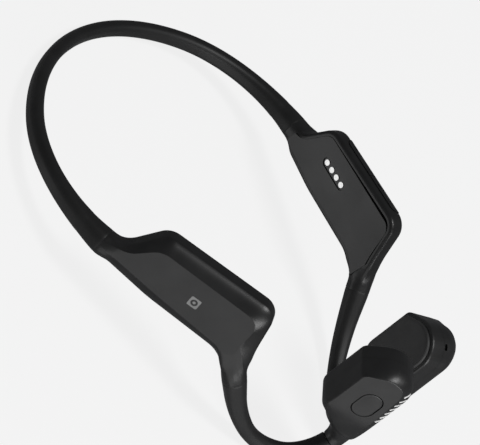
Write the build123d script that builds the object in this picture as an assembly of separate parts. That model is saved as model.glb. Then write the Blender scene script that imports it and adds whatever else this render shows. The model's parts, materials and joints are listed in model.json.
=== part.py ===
from build123d import *
import os
from math import atan2, cos, degrees, radians, sin

# Bone conduction headphones, in millimetres. +X is the wearer's right and -Y is the wearer's front.
# The headphones lie upside down, as they are put down: on the rear of the neckband and on the tops of
# both ear hooks. Everything is modelled in the plane of the neckband, with its rear centre at the
# origin, and resting_place() tips the finished pieces onto the surface that they lie on.

# ---- driving dimensions ----
REAR_RADIUS = 60.0            # neckband, the flat curve behind the neck
REAR_SWEEP = 40.0
SIDE_RADIUS = 40.0            # neckband, the tighter curve round to the case
SIDE_SWEEP = 58.8
BAND_STATIONS = [             # fraction of the half band, height, thickness
    (0.0, 4.1, 3.7),
    (0.3, 4.4, 3.9),
    (0.6, 4.7, 4.2),
    (0.8, 5.1, 4.5),
    (0.92, 5.8, 5.6),
    (1.0, 6.5, 7.0),
]
WIRE_RADIUS = 0.55            # spring wire in the band and in the hooks
LEAD_RADIUS = 0.5             # signal lead beside it
CORE_OFFSET = 0.85            # each core's distance from the middle of the sleeve
CORE_CLEARANCE = 0.02
CORE_TAIL = 5.0               # how far the wires run on into a case
POD_TAIL = 3.0                # and into a pod's neck

CASE_FORWARD = (-0.325, -0.926, -0.191)
CASE_OUTWARD = (0.942, -0.336, 0.028)
CASE_THICKNESS = 7.2
CASE_WALL = 1.2
CASE_CORNERS = [              # along, across, radius: the lower edge, the hook end, the raised edge
    (-4.0, -3.5, 0),
    (18.0, -1.3, 50),
    (41.3, 3.3, 9),
    (52.1, -6.1, 0),
    (56.0, -1.7, 0),
    (47.2, 6.6, 30),
    (41.4, 22.0, 4.6),
    (8.2, 15.0, 5.0),
    (4.2, 3.8, 4.5),
    (-4.0, 3.3, 0),
]
CASE_OUTER_ROUND = 2.8
CASE_INNER_ROUND = 1.0
COVER_INSET = 1.5
COVER_THICKNESS = 1.1
COVER_SPAN = (3.0, 45.5)      # where the cover starts and ends along the case
SEAL_HEIGHT = 0.5
SEAL_WIDTH = 0.8
FIT_GAP = 0.05

HUMP, CORNER = CASE_CORNERS[7], CASE_CORNERS[6]
EDGE_ANGLE = degrees(atan2(CORNER[1] - HUMP[1], CORNER[0] - HUMP[0]))
STRIP_START = 4.0             # from the hump's corner to the button strip, along the raised edge
KEY_LENGTH = 12.6
KEY_WIDTH = 4.0
KEY_DEPTH = 1.9
KEY_PROUD = 0.25
KEY_TRAVEL = 0.4
KEY_GAP = 0.12
STRIP_OFFSET = 1.0            # the strip lies nearer the outer face
SWITCH_GAP = 0.03
SWITCH_HEIGHT = 0.6
SWITCH_BOARD = 0.7
SWITCH_BOARD_AREA = (-9.8, 9.8, -1.7, 0.8)

MAIN_BOARD_INSET = 5.4
MAIN_BOARD_SPAN = (7, 42)
MAIN_BOARD_LEVELS = (-0.5, 0.3)
RADIO_PLACE = (25, 8.5, 1.9)
RADIO_SIZE = (22, 3.2, 0.3)
BATTERY_PLACE = (24.5, 9.2, -0.1)
BATTERY_SIZE = (26, 9.2, 3.2)
BATTERY_ROUND = 1.2
LOOP_PLACE = (24.5, 9.2, 1.9)
LOOP_SIZE = (20, 8, 0.3)
LOOP_WIDTH = 1.2

CONTACT_START = (15.2, 8.9)
CONTACT_ANGLE = 11.0
CONTACT_PITCH = 2.54
CONTACT_COUNT = 4
CONTACT_RADIUS = 0.85
CONTACT_SUNK = 0.1
CONTACT_DEPTH = 2.4
BEZEL_WIDTH = 2.9
BEZEL_LENGTH = CONTACT_PITCH * (CONTACT_COUNT - 1) + BEZEL_WIDTH
BEZEL_SUNK = 0.3
BEZEL_DEPTH = 1.7
MAGNET_RADIUS = 1.5
MAGNET_DEPTH = 1.1

HOOK_START = (49.6, 0.1, 0.75)
HOOK_FORWARD = (-0.3885, -0.4952, -0.777)
HOOK_NORMAL = (0.6293, -0.7586, 0.1688)
HOOK_LEAD_IN = 5.7
HOOK_ARCS = [(45.0, 16.7), (23.0, 37.4), (14.4, 56.6)]
HOOK_STATIONS = [             # fraction of the hook, width, thickness
    (0.0, 5.9, 5.9),
    (0.2, 4.9, 4.9),
    (0.45, 4.2, 4.2),
    (0.75, 4.3, 4.3),
    (1.0, 5.2, 5.2),
]

POD_ORIGIN = (20.0, -120.0, 0.0)
POD_ALONG = (0.016, -0.084, 0.996)
POD_OUTWARD = (0.832, -0.551, -0.060)
POD_TIP = 16.0
POD_REAR = -4.3
POD_FRONT = 12.1
POD_TIP_RADIUS = 7.0
POD_DEPTH = 12.4
POD_SPLIT = 6.6               # depth of the seam between the outer shell and the inner base
POD_WALL = 1.2
POD_SHOULDER = 2.8
PAD_THICKNESS = 1.2
PAD_INSET = 0.9
BODY_CORNERS = [
    (-5.8, POD_REAR, 3.0),
    (11.2, POD_REAR, 1.8),
    (POD_TIP + 0.2, 2.2, 8.0),
    (POD_TIP, POD_FRONT, POD_TIP_RADIUS),
    (-13.5, POD_FRONT, 2.0),
    (-11.0, 5.0, 2.0),
]
PANEL_CORNERS = [
    (-2.6, POD_REAR + 0.4, 0.8),
    (11.6, POD_REAR + 0.4, 1.4),
    (14.7, 2.5, 6.0),
    (14.0, 8.2, 4.0),
    (-9.8, 9.8, 1.2),
    (-8.6, 6.2, 1.2),
]
SLOPE_START = (-3.5, 2.0, 0.0)   # where the outer face starts to fall towards the neck
SLOPE_NORMAL = (-0.389, 0.203, 0.899)
NECK_ROOT = (-9.5, 8.4, -7.4)    # where the neck's own section ends, inside the pod
NECK_ROOT_SIZE = (8.6, 7.6)
CAVITY_START = -6.5
SHOULDER_START = -4.4
BUTTON_CENTRE = (3.8, 3.7)
BUTTON_LENGTH = 8.6
BUTTON_WIDTH = 6.2
BUTTON_TRAVEL = 0.4
BUTTON_GAP = 0.15
BUTTON_THICKNESS = 1.8
BUTTON_SWITCH_SIZE = (4.0, 4.0)
BUTTON_SWITCH_HEIGHT = 1.0
BUTTON_BOARD_SIZE = (9.0, 6.0)
BUTTON_BOARD_HEIGHT = 0.8

TRANSDUCER_CENTRE = (4.6, 4.0)
WINDOW_SIZE = (14.4, 11.4)
PLATE_SIZE = (14.0, 11.0)
YOKE_SIZE = (12.6, 9.8)
COIL_SIZE = (9.6, 6.8)
MAGNET_SIZE = (7.0, 4.2)
PLATE_HEIGHT = 0.9
SPRING_HEIGHT = 0.3
COIL_HEIGHT = 1.6
COIL_WALL = 0.9
YOKE_HEIGHT = 3.0
YOKE_RECESS = 2.0

MIC_ANGLE = 28.0              # from the pod's axis towards the front, round the tip's corner
MIC_HEIGHT = -5.9
MIC_BORE = (1.9, 0.9)         # the port is a slot, long and wide
MIC_SIZE = (2.4, 2.6, 1.0)
MIC_DEPTH = 1.7

REST_TILT = -13.28            # from the neckband's plane to the surface that the headphones lie on


# ---- helpers ----
def rounded_face(corners):
    """A flat face from (x, y, radius) corners."""
    face = make_face(Polyline(*[(x, y) for x, y, _ in corners], close=True))
    for x, y, radius in corners:
        if radius:
            corner = face.vertices().sort_by_distance((x, y, 0))[0]
            face = fillet(corner, radius)
    return face


def slab(face, low, high):
    """The face's prism between two heights."""
    return Pos(0, 0, low) * extrude(face, amount=high - low, dir=(0, 0, 1))


def block(x0, x1, y0, y1, z0, z1):
    return Pos((x0 + x1) / 2, (y0 + y1) / 2, (z0 + z1) / 2) * Box(x1 - x0, y1 - y0, z1 - z0)


def rounded_block(centre, size, radius, low, high):
    face = Pos(*centre) * RectangleRounded(size[0], size[1], radius)
    return slab(face, low, high)


def sleeve_along(path, stations, side):
    """A skin over rounded rectangles set square to the path; side is their first direction."""
    sections = []
    for fraction, width, thickness in stations:
        place = Plane(path @ fraction, x_dir=side, z_dir=path % fraction)
        radius = 0.42 * min(width, thickness)
        sections.append(place * RectangleRounded(width, thickness, radius))
    return loft(sections)


def cores_along(path, side, clearance=0.0):
    """The spring wire and the signal lead, side by side along the path."""
    start = Plane(path @ 0, x_dir=side, z_dir=path % 0)
    wire = sweep(start * Pos(CORE_OFFSET, 0) * Circle(WIRE_RADIUS + clearance), path=path)
    lead = sweep(start * Pos(-CORE_OFFSET, 0) * Circle(LEAD_RADIUS + clearance), path=path)
    return wire, lead


def both_sides(shape):
    return {"right": shape, "left": mirror(shape, about=Plane.YZ)}


# ---- frames of the case and the pod, right-hand side ----
half_rear = JernArc((0, 0), (1, 0), REAR_RADIUS, -REAR_SWEEP)
half_side = JernArc(half_rear @ 1, half_rear % 1, SIDE_RADIUS, -SIDE_SWEEP)
BAND_END = half_side @ 1
BAND_HEADING = half_side % 1
CASE = Plane(BAND_END, x_dir=CASE_FORWARD, z_dir=-Vector(*CASE_OUTWARD))
HOOK = Plane(CASE.from_local_coords(Vector(*HOOK_START)), x_dir=HOOK_FORWARD, z_dir=HOOK_NORMAL)
POD = Plane(POD_ORIGIN, x_dir=POD_ALONG, z_dir=POD_OUTWARD)


# ---- neckband ----
def band_path(tail=0.0):
    """From the left case to the right one, with straight tails inside the cases."""
    turn = Vector(BAND_HEADING.X, -BAND_HEADING.Y)
    left_end = Vector(-BAND_END.X, BAND_END.Y)
    left = JernArc(left_end, turn, SIDE_RADIUS, -SIDE_SWEEP)
    rear = JernArc(left @ 1, left % 1, REAR_RADIUS, -2 * REAR_SWEEP)
    right = JernArc(rear @ 1, rear % 1, SIDE_RADIUS, -SIDE_SWEEP)
    runs = [left, rear, right]
    if tail:
        before = Line(left_end - turn * tail, left_end)
        after = Line(right @ 1, (right @ 1) + (right % 1) * tail)
        runs = [before, *runs, after]
    return Wire([run.edge() for run in runs])


def neckband():
    path = band_path()
    half = [(0.5 + 0.5 * s, h, t) for s, h, t in BAND_STATIONS]
    other = [(0.5 - 0.5 * s, h, t) for s, h, t in BAND_STATIONS[:0:-1]]
    sleeve = sleeve_along(path, other + half, (0, 0, 1))
    cores = cores_along(band_path(CORE_TAIL), (0, 0, 1))
    bores = cores_along(band_path(CORE_TAIL), (0, 0, 1), CORE_CLEARANCE)
    return sleeve - bores[0] - bores[1], cores, bores


# ---- ear hook, right-hand side ----
def hook_path(tails=False):
    """A straight lead-in and three tightening arcs over the ear, in the hook's own plane."""
    runs = [Line((0, 0), (HOOK_LEAD_IN, 0))]
    for radius, sweep_angle in HOOK_ARCS:
        runs.append(JernArc(runs[-1] @ 1, runs[-1] % 1, radius, -sweep_angle))
    if tails:
        runs.insert(0, Line((-CORE_TAIL, 0), (0, 0)))
        runs.append(Line(runs[-1] @ 1, (runs[-1] @ 1) + (runs[-1] % 1) * POD_TAIL))
    return Wire([(HOOK * run).edge() for run in runs])


def ear_hook():
    sleeve = sleeve_along(hook_path(), HOOK_STATIONS, HOOK_NORMAL)
    cores = cores_along(hook_path(True), HOOK_NORMAL)
    bores = cores_along(hook_path(True), HOOK_NORMAL, CORE_CLEARANCE)
    return sleeve - bores[0] - bores[1], cores, bores


# ---- cases, in the case's own frame: x along it, y towards the raised edge, z outward ----
def on_case(shape):
    """Places a case piece. The plane's own normal points at the head, so the piece is mirrored."""
    return CASE * mirror(shape, about=Plane.XY)


def case_outline(inset=0.0):
    face = rounded_face(CASE_CORNERS)
    if inset:
        face = offset(face, amount=-inset, kind=Kind.INTERSECTION)
    return face


def case_blank(grow=0.0):
    """The case with no hollow. The outer rim is well rounded and the inner rim slightly."""
    half = CASE_THICKNESS / 2 + grow
    blank = slab(case_outline(-grow), -half, half)
    for group, radius in ((-1, CASE_OUTER_ROUND), (0, CASE_INNER_ROUND)):
        rim = blank.edges().group_by(Axis.Z)[group]
        ends = [e for e in rim if e.geom_type == GeomType.LINE and e.length < 9]
        blank = fillet([e for e in rim if e not in ends], radius)
    return blank


def span(low, high):
    """A block that keeps only a stretch of the case."""
    return block(low, high, -30, 40, -10, 10)


def trim_case(shape):
    """Ends the placed case square to the neckband and square to the ear hook."""
    shape = split(shape, bisect_by=Plane(BAND_END, z_dir=BAND_HEADING), keep=Keep.TOP)
    return split(shape, bisect_by=Plane(HOOK.origin, z_dir=HOOK_FORWARD), keep=Keep.BOTTOM)


INNER_FACE = -CASE_THICKNESS / 2
LEDGE = INNER_FACE + COVER_THICKNESS
SEAL_TOP = LEDGE + SEAL_HEIGHT


def case_pieces():
    """The outer shell, the inner cover and the seal that the cover sits on."""
    low, high = COVER_SPAN
    pocket = slab(case_outline(COVER_INSET - FIT_GAP), INNER_FACE - 5, SEAL_TOP)
    pocket &= span(low - FIT_GAP, high + FIT_GAP)
    hollow_face = case_outline(COVER_INSET + SEAL_WIDTH)
    hollow = slab(hollow_face, SEAL_TOP - 0.1, CASE_THICKNESS / 2 - CASE_WALL)
    hollow &= span(low + SEAL_WIDTH, high - SEAL_WIDTH)
    shell = case_blank() - pocket - hollow
    cover = slab(case_outline(COVER_INSET), INNER_FACE, LEDGE) & span(low, high)
    ring = slab(case_outline(COVER_INSET), LEDGE, SEAL_TOP) & span(low, high)
    gap = slab(hollow_face, LEDGE - 1, SEAL_TOP + 1) & span(low + SEAL_WIDTH, high - SEAL_WIDTH)
    return shell, cover, ring - gap


def edge_frame():
    """x along the raised edge, y outward, z out of the edge; its origin is the strip's middle."""
    along = Vector(cos(radians(EDGE_ANGLE)), sin(radians(EDGE_ANGLE)), 0)
    middle = Vector(HUMP[0], HUMP[1], STRIP_OFFSET) + along * (STRIP_START + KEY_LENGTH)
    out = Vector(-sin(radians(EDGE_ANGLE)), cos(radians(EDGE_ANGLE)), 0)
    return Plane(middle, x_dir=along, z_dir=out)


def key_prism(which, grow, low, high):
    """One half of the capsule-shaped strip; which is -1 for the rear half and 1 for the front."""
    near = (FIT_GAP + 0.1) - grow
    far = KEY_LENGTH + grow
    half = KEY_WIDTH / 2 + grow
    face = rounded_face([
        (near, -half, 0.3),
        (far, -half, half - 0.05),
        (far, half, half - 0.05),
        (near, half, 0.3),
    ])
    if which < 0:
        face = mirror(face, about=Plane.YZ)
    return edge_frame() * slab(face, low, high)


def side_keys():
    skin = case_blank(KEY_PROUD)
    return {
        "volume_up_button": key_prism(-1, 0, -KEY_DEPTH, 4) & skin,
        "volume_down_button": key_prism(1, 0, -KEY_DEPTH, 4) & skin,
    }


def key_switches():
    """Two dome switches, and the small board that carries them under the keys."""
    top = -KEY_DEPTH - KEY_TRAVEL - SWITCH_GAP
    base = top - SWITCH_HEIGHT
    domes = []
    for which in (-1, 1):
        dome = Pos(which * KEY_LENGTH / 2, -0.2, base) * Cone(
            1.3, 0.8, SWITCH_HEIGHT, align=(Align.CENTER, Align.CENTER, Align.MIN))
        domes.append(edge_frame() * dome)
    board = edge_frame() * block(*SWITCH_BOARD_AREA, base - SWITCH_BOARD, base)
    return domes, board


def contact_frame():
    """x along the row, z out of the inner face; its origin is the row's middle."""
    along = Vector(cos(radians(CONTACT_ANGLE)), sin(radians(CONTACT_ANGLE)), 0)
    middle = Vector(*CONTACT_START, INNER_FACE) + along * CONTACT_PITCH * (CONTACT_COUNT - 1) / 2
    return Plane(middle, x_dir=along, z_dir=(0, 0, -1))


def contact_row(radius, low, high):
    pins = []
    for i in range(CONTACT_COUNT):
        x = (i - (CONTACT_COUNT - 1) / 2) * CONTACT_PITCH
        pins.append(contact_frame() * Pos(x, 0, low) * Cylinder(
            radius, high - low, align=(Align.CENTER, Align.CENTER, Align.MIN)))
    return pins


def charging_port(cover):
    """Cuts the port into the cover, and returns the cover, its bezel, its contacts and magnets."""
    frame = contact_frame()
    opening = frame * slab(SlotOverall(BEZEL_LENGTH + 2 * FIT_GAP, BEZEL_WIDTH + 2 * FIT_GAP), -4, 4)
    bezel = frame * slab(SlotOverall(BEZEL_LENGTH, BEZEL_WIDTH), -BEZEL_DEPTH, -BEZEL_SUNK)
    for pin in contact_row(CONTACT_RADIUS + CORE_CLEARANCE, -BEZEL_DEPTH - 1, 1):
        bezel -= pin
    contacts = contact_row(CONTACT_RADIUS, -CONTACT_DEPTH, -CONTACT_SUNK)
    reach = BEZEL_LENGTH / 2 + MAGNET_RADIUS + 0.6
    magnets = []
    for side in (-1, 1):
        magnets.append(frame * Pos(side * reach, 0, -COVER_THICKNESS - FIT_GAP - MAGNET_DEPTH) * Cylinder(
            MAGNET_RADIUS, MAGNET_DEPTH, align=(Align.CENTER, Align.CENTER, Align.MIN)))
    return cover - opening, bezel, contacts, magnets


def case_electronics():
    """The board and radio antenna on the right, and the battery and pairing loop on the left."""
    lean = Rot(0, 0, EDGE_ANGLE)
    board = slab(case_outline(MAIN_BOARD_INSET), *MAIN_BOARD_LEVELS) & span(*MAIN_BOARD_SPAN)
    antenna = Pos(*RADIO_PLACE) * lean * Box(*RADIO_SIZE)
    cell = fillet(Box(*BATTERY_SIZE).edges().filter_by(Axis.X), BATTERY_ROUND)
    length, width, height = LOOP_SIZE
    loop = Box(length, width, height) - Box(length - 2 * LOOP_WIDTH, width - 2 * LOOP_WIDTH, 1)
    return {
        "main_board": on_case(board),
        "radio_antenna": on_case(antenna),
        "battery_cell": mirror(on_case(Pos(*BATTERY_PLACE) * lean * cell), about=Plane.YZ),
        "pairing_antenna": mirror(on_case(Pos(*LOOP_PLACE) * lean * loop), about=Plane.YZ),
    }


# ---- pods, in the pod's own frame: x towards the tip, y towards the front, z outward ----
BASE_END = -POD_DEPTH + PAD_THICKNESS


def body_outline(inset=0.0):
    face = rounded_face(BODY_CORNERS)
    if inset:
        face = offset(face, amount=-inset, kind=Kind.INTERSECTION)
    return face


def pod_neck():
    """Blends the round end of the ear hook into the pod's body, in the worn frame."""
    path = hook_path()
    end = Plane(path @ 1, x_dir=HOOK_NORMAL, z_dir=path % 1)
    _, width, thickness = HOOK_STATIONS[-1]
    tip = end * RectangleRounded(width, thickness, 0.42 * width)
    root = Plane(POD.from_local_coords(Vector(*NECK_ROOT)), x_dir=POD_OUTWARD, z_dir=POD_ALONG)
    return loft([tip, root * RectangleRounded(*NECK_ROOT_SIZE, 2.0)], ruled=True)


def above_slope(drop=0.0):
    """Everything over the outer face's fall towards the neck, or over a level below it."""
    face = Plane(SLOPE_START, z_dir=SLOPE_NORMAL)
    return face * block(-40, 40, -40, 40, -drop, 30)


def pod_pieces():
    """The outer shell with the neck, the inner base and the soft contact pad."""
    neck = POD.to_local_coords(pod_neck())
    keep = block(CAVITY_START, 40, -30, 30, -30, 30)
    shoulder = loft([Pos(0, 0, SHOULDER_START) * body_outline(), rounded_face(PANEL_CORNERS)], ruled=True)
    upper = slab(body_outline(), -POD_SPLIT, SHOULDER_START) + shoulder - above_slope()
    hollow = slab(body_outline(POD_WALL), -POD_SPLIT - 1, SHOULDER_START) & keep
    hollow += slab(body_outline(POD_SHOULDER + 1.6), SHOULDER_START - 0.1, -POD_WALL - 0.3) & keep
    hollow -= above_slope(POD_WALL)
    shell = upper + neck - hollow - slab(body_outline(-1), -POD_DEPTH - 9, BASE_END)
    lower = slab(body_outline(), BASE_END, -POD_SPLIT) - neck
    well = slab(body_outline(POD_WALL), BASE_END + POD_WALL, -POD_SPLIT + 1) & keep
    window = rounded_block(TRANSDUCER_CENTRE, WINDOW_SIZE, 1.5, BASE_END - 1, BASE_END + 3)
    base = lower - well - window
    shell -= slab(body_outline(-1), BASE_END - 5, -POD_SPLIT) & keep
    pad = slab(body_outline(PAD_INSET), -POD_DEPTH, BASE_END)
    return shell, base, pad


def transducer():
    """Plate, suspension, voice coil, magnet and yoke, from the pad outward."""
    at = TRANSDUCER_CENTRE
    level = BASE_END + FIT_GAP
    plate = rounded_block(at, PLATE_SIZE, 1.4, level, level + PLATE_HEIGHT)
    level += PLATE_HEIGHT + FIT_GAP
    spring = rounded_block(at, YOKE_SIZE, 1.2, level, level + SPRING_HEIGHT)
    spring -= rounded_block(at, (5.0, 2.6), 0.6, level - 1, level + 1)
    level += SPRING_HEIGHT + FIT_GAP
    bore = (COIL_SIZE[0] - 2 * COIL_WALL, COIL_SIZE[1] - 2 * COIL_WALL)
    coil = rounded_block(at, COIL_SIZE, 1.4, level, level + COIL_HEIGHT)
    coil -= rounded_block(at, bore, 0.6, level - 1, level + COIL_HEIGHT + 1)
    recess = (COIL_SIZE[0] + COIL_WALL, COIL_SIZE[1] + COIL_WALL)
    yoke = rounded_block(at, YOKE_SIZE, 1.2, level, level + YOKE_HEIGHT)
    yoke -= rounded_block(at, recess, 1.0, level - 1, level + YOKE_RECESS)
    magnet = rounded_block(at, MAGNET_SIZE, 0.4, level + 0.4, level + YOKE_RECESS - FIT_GAP / 5)
    return {"transducer_plate": plate, "transducer_suspension": spring, "voice_coil": coil,
            "transducer_yoke": yoke, "transducer_magnet": magnet}


def main_button(grow=0.0):
    size = (BUTTON_LENGTH + 2 * grow, BUTTON_WIDTH + 2 * grow)
    reach = 4.0 if grow else 0.0
    return rounded_block(BUTTON_CENTRE, size, BUTTON_WIDTH / 2 - 0.3, -BUTTON_THICKNESS - reach, reach)


def mic_frame():
    """z out of the pod's tip through the microphone port."""
    out = Vector(cos(radians(MIC_ANGLE)), sin(radians(MIC_ANGLE)), 0)
    centre = Vector(POD_TIP - POD_TIP_RADIUS, POD_FRONT - POD_TIP_RADIUS, MIC_HEIGHT)
    return Plane(centre + out * POD_TIP_RADIUS, x_dir=(0, 0, 1), z_dir=out)


# ---- assembly ----
def build():
    parts = {}
    sleeve, band_cores, band_bores = neckband()
    parts["neckband_sleeve"] = sleeve
    parts["neckband_spring_wire"], parts["neckband_lead"] = band_cores
    hook_sleeve, hook_cores, hook_bores = ear_hook()
    for side, shape in both_sides(hook_sleeve).items():
        parts[side + "_ear_hook_sleeve"] = shape
    for side, shape in both_sides(hook_cores[0]).items():
        parts[side + "_ear_hook_wire"] = shape
    for side, shape in both_sides(hook_cores[1]).items():
        parts[side + "_transducer_lead"] = shape

    shell, cover, seal = case_pieces()
    placed = trim_case(on_case(shell))
    for bore in (*band_bores, *hook_bores):
        placed -= bore
    keys = side_keys()
    slots = [on_case(key_prism(which, KEY_GAP, -8, 8)) for which in (-1, 1)]
    parts["left_case_shell"] = mirror(placed, about=Plane.YZ)
    parts["right_case_shell"] = placed - slots[0] - slots[1]
    parts["left_case_cover"] = mirror(on_case(cover), about=Plane.YZ)
    for side, shape in both_sides(on_case(seal)).items():
        parts[side + "_case_seal"] = shape
    cover, bezel, contacts, magnets = charging_port(cover)
    parts["right_case_cover"] = on_case(cover)
    parts["charging_port_bezel"] = on_case(bezel)
    parts["charging_contacts"] = Compound([on_case(pin) for pin in contacts])
    parts["charging_magnets"] = Compound([on_case(disc) for disc in magnets])
    for name, key in keys.items():
        parts[name] = on_case(key)
    domes, board = key_switches()
    parts["side_switch_domes"] = Compound([on_case(dome) for dome in domes])
    parts["side_switch_board"] = on_case(board)
    parts.update(case_electronics())

    shell, base, pad = pod_pieces()
    shell = POD * shell
    for bore in hook_bores:
        shell -= bore
    shell_left = shell - POD * main_button(BUTTON_GAP)
    port = mic_frame() * Rot(0, 0, 90) * slab(SlotOverall(*MIC_BORE), -MIC_DEPTH, 2)
    parts["right_pod_shell"] = shell - POD * port
    parts["left_pod_shell"] = mirror(shell_left, about=Plane.YZ)
    for name, piece in (("pod_base", base), ("contact_pad", pad), *transducer().items()):
        for side, shape in both_sides(POD * piece).items():
            parts[side + "_" + name] = shape
    parts["multifunction_button"] = mirror(POD * main_button(), about=Plane.YZ)
    top = -BUTTON_THICKNESS - BUTTON_TRAVEL - SWITCH_GAP
    foot = top - BUTTON_SWITCH_HEIGHT
    switch = rounded_block(BUTTON_CENTRE, BUTTON_SWITCH_SIZE, 0.4, foot, top)
    carrier = rounded_block(BUTTON_CENTRE, BUTTON_BOARD_SIZE, 0.8, foot - BUTTON_BOARD_HEIGHT, foot)
    parts["button_switch"] = mirror(POD * switch, about=Plane.YZ)
    parts["button_board"] = mirror(POD * carrier, about=Plane.YZ)
    capsule = mic_frame() * Pos(0, 0, -MIC_DEPTH - MIC_SIZE[2] / 2) * Box(*MIC_SIZE)
    parts["microphone"] = POD * capsule
    return parts


def resting_place(parts):
    """Tips the neckband's plane to rest, with the origin under the middle of the whole box."""
    tilt = Rot(REST_TILT, 0, 0)
    box = Compound([tilt * shape for shape in parts.values()]).bounding_box()
    middle = (box.min + box.max) / 2
    return Pos(-middle.X, -middle.Y, -box.min.Z) * tilt


os.makedirs("parts", exist_ok=True)
parts = build()
rest = resting_place(parts)
for name, shape in parts.items():
    export_step(rest * shape, "parts/" + name + ".step")
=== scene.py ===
import json
from math import atan2, ceil, cos, hypot, pi, radians, sin, tan

import bmesh
import bpy
import numpy as np
from mathutils import Matrix, Vector


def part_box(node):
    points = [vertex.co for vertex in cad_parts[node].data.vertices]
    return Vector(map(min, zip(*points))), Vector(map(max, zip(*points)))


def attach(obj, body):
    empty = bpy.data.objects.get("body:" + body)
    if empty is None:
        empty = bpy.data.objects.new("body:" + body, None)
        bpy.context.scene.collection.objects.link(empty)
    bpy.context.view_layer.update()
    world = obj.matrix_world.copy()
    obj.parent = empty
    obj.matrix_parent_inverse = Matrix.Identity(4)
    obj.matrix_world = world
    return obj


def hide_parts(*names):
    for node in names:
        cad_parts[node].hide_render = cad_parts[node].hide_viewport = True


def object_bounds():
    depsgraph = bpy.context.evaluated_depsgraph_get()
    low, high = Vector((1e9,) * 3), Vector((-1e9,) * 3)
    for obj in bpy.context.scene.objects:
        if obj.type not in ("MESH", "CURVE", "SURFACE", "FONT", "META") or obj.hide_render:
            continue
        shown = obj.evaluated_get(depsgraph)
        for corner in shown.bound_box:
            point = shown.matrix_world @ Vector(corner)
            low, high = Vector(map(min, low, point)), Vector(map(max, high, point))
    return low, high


# Bone conduction headphones. Shapes are worked out in millimetres in the frames that the CAD part uses,
# and are put into the row frame, in metres, when a piece is made.
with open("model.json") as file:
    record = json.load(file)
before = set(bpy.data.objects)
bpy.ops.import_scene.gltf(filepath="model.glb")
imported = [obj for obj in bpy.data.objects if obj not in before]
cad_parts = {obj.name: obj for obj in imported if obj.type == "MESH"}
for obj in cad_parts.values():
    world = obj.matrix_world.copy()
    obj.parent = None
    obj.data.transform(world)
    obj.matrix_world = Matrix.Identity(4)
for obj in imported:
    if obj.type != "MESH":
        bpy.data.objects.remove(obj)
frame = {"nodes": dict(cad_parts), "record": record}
cad_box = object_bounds()
HEADSET = "headset"
MM = 0.001

# ---- the part's driving dimensions ----
REST_TILT = -13.28
BAND_RUNS = [(60.0, 40.0), (40.0, 58.8)]      # radius, turn: from the rear centre to the right case
BAND_STATIONS = [            # share of the way from the rear centre, height, thickness
    (0.0, 4.1, 3.7),
    (0.3, 4.4, 3.9),
    (0.6, 4.7, 4.2),
    (0.8, 5.1, 4.5),
    (0.92, 5.8, 5.6),
    (1.0, 6.5, 7.0),
]
SECTION_ROUND = 0.42
CASE_FORWARD = (-0.325, -0.926, -0.191)
CASE_OUTWARD = (0.942, -0.336, 0.028)
CASE_HALF = 3.6
HOOK_START = (49.6, 0.1, -0.75)
HOOK_FORWARD = (-0.3885, -0.4952, -0.777)
HOOK_NORMAL = (0.6293, -0.7586, 0.1688)
# length of a straight run or radius of a bend, turn in degrees
HOOK_RUNS = [(5.7, None), (45.0, 16.7), (23.0, 37.4), (14.4, 56.6)]
HOOK_STATIONS = [            # share of the way from the case, height, thickness
    (0.0, 6.3, 6.3),
    (0.2, 5.2, 5.2),
    (0.45, 4.2, 4.2),
    (0.75, 4.3, 4.3),
    (1.0, 5.2, 5.2),
]
POD_ORIGIN = (20.0, -120.0, 0.0)
POD_ALONG = (0.016, -0.084, 0.996)
POD_OUTWARD = (0.832, -0.551, -0.060)


# ---- frames ----
def unit(v):
    v = np.array(v, float)
    return v / np.linalg.norm(v)


def matrix_of(origin, x, y, z):
    m = np.eye(4)
    m[:3, 0], m[:3, 1], m[:3, 2], m[:3, 3] = x, y, z, origin
    return m


def turned(v, degrees_about_x):
    c, s = cos(radians(degrees_about_x)), sin(radians(degrees_about_x))
    return np.array([v[0], c * v[1] - s * v[2], s * v[1] + c * v[2]])


def rest_matrix():
    """From the neckband's plane to the row frame, in millimetres, from where the neckband's rear lies."""
    low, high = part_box("neckband_sleeve")
    _, height, thickness = BAND_STATIONS[0]
    corner = SECTION_ROUND * min(height, thickness)
    half_y, half_z = thickness / 2 - corner, height / 2 - corner
    c, s = cos(radians(REST_TILT)), abs(sin(radians(REST_TILT)))
    reach_y = half_y * c + half_z * s + corner
    reach_z = half_y * s + half_z * c + corner
    axes = [turned(v, REST_TILT) for v in np.eye(3)]
    return matrix_of((0, high.y / MM - reach_y, low.z / MM + reach_z), *axes)


def trace(runs, step=0.7):
    """Points and headings of straight (length, None) and right-turning (radius, degrees) runs."""
    point, heading = np.zeros(2), 0.0
    found = [(*point, heading)]
    for size, turn in runs:
        if turn is None:
            count = ceil(size / step)
            ahead = np.array([cos(heading), sin(heading)])
            found += [(*(point + ahead * size * k / count), heading) for k in range(1, count + 1)]
        else:
            count = ceil(size * radians(turn) / step)
            centre = point + size * np.array([sin(heading), -cos(heading)])
            for k in range(1, count + 1):
                h = heading - radians(turn) * k / count
                found.append((*(centre + size * np.array([-sin(h), cos(h)])), h))
            heading -= radians(turn)
        point = np.array(found[-1][:2])
    return np.array(found)


REST = rest_matrix()
MIRROR = np.diag([-1.0, 1.0, 1.0, 1.0])
BAND_HALF = trace(BAND_RUNS)
BAND_END = np.array([BAND_HALF[-1][0], BAND_HALF[-1][1], 0.0])
BAND_HEADING = np.array([cos(BAND_HALF[-1][2]), sin(BAND_HALF[-1][2]), 0.0])

case_out = unit(CASE_OUTWARD)
case_along = unit(np.array(CASE_FORWARD) - np.dot(CASE_FORWARD, case_out) * case_out)
case_across = np.cross(-case_out, case_along)
CASE = matrix_of(BAND_END, case_along, case_across, case_out)

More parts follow.
